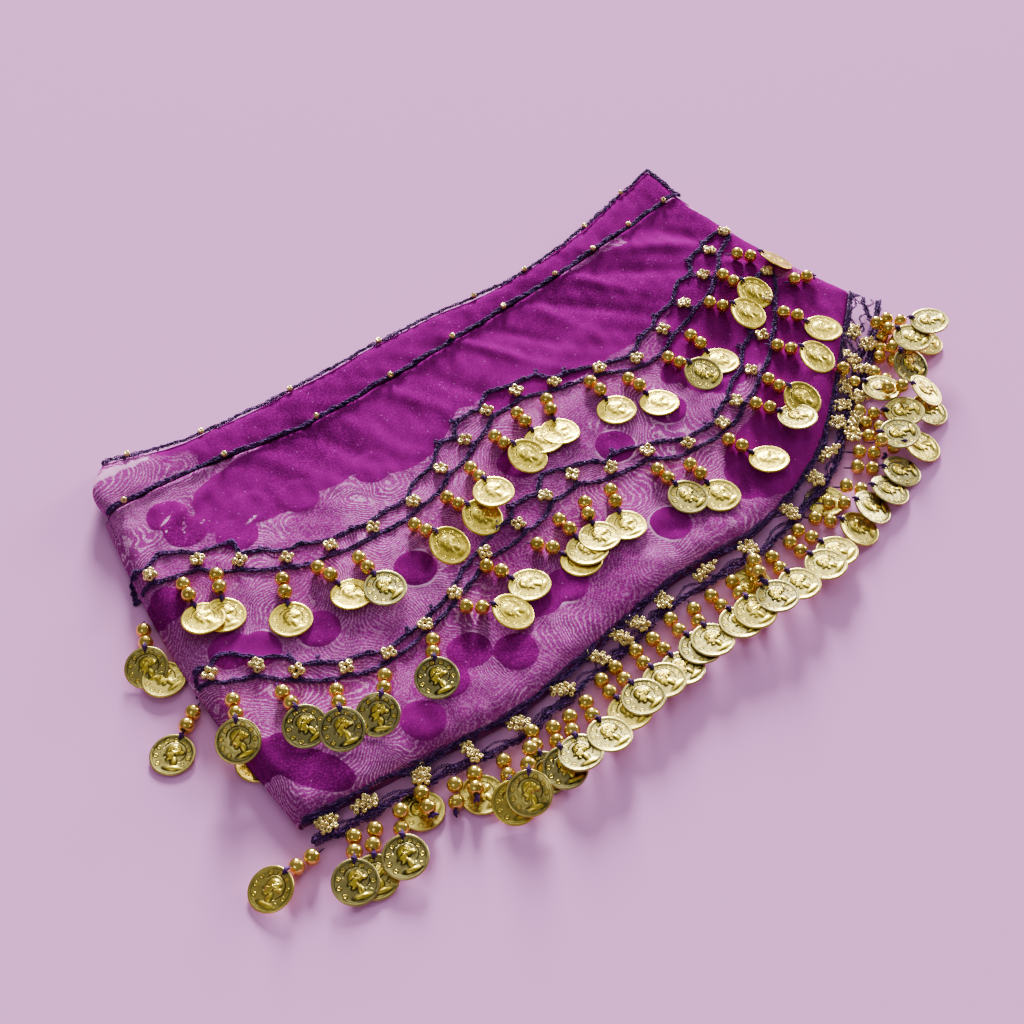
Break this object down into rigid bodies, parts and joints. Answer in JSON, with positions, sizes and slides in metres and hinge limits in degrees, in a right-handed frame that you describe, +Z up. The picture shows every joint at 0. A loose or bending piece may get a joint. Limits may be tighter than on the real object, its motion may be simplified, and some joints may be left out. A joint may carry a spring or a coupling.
{
  "type": "belly dance hip scarf, folded flat",
  "caption": "Magenta chiffon belly dance hip scarf folded flat, with crocheted trims, gold beads and coin dangles; it rests on a surface.",
  "frame": {"origin": "the middle of the scarf's box, on the surface that it lies on", "axes": "+X along the waist edge from the fold to the right edge, +Y towards the waist, +Z up"},
  "size_m": [0.4362, 0.2627, 0.0202],
  "materials": {
    "chiffon": "sheer magenta-purple chiffon with a fine sparkle, in several layers",
    "crochet": "dark violet twisted yarn, crocheted, with gold seed beads",
    "gold": "thin stamped coins and plated round beads, bright pale gold"
  },
  "bodies": {
    "root": {"top_panel": "chiffon", "hidden_layers": "chiffon", "waistband": "chiffon", "waist_edging": "crochet", "seam_chain": "crochet", "crochet_row_1": "crochet", "crochet_row_2": "crochet", "hem_net": "crochet", "dangle_1_01": "gold", "dangle_1_02": "gold", "dangle_1_03": "gold", "dangle_1_04": "gold", "dangle_1_05": "gold", "dangle_1_06": "gold", "dangle_1_07": "gold", "dangle_1_08": "gold", "dangle_1_09": "gold", "dangle_1_10": "gold", "dangle_1_11": "gold", "dangle_1_12": "gold", "dangle_1_13": "gold", "dangle_1_14": "gold", "dangle_1_15": "gold", "dangle_1_16": "gold", "dangle_1_17": "gold", "dangle_1_18": "gold", "dangle_1_19": "gold", "dangle_2_01": "gold", "dangle_2_02": "gold", "dangle_2_03": "gold", "dangle_2_04": "gold", "dangle_2_05": "gold", "dangle_2_06": "gold", "dangle_2_07": "gold", "dangle_2_08": "gold", "dangle_2_09": "gold", "dangle_2_10": "gold", "dangle_2_11": "gold", "dangle_2_12": "gold", "dangle_2_13": "gold", "dangle_2_14": "gold", "dangle_2_15": "gold", "dangle_2_16": "gold", "dangle_2_17": "gold", "dangle_2_18": "gold", "dangle_2_19": "gold", "dangle_2_20": "gold", "fringe_1": "gold", "fringe_2": "gold", "fringe_3": "gold", "fringe_4": "gold", "fringe_5": "gold", "fringe_6": "gold", "fringe_7": "gold", "fringe_8": "gold"}
  },
  "joints": []
}
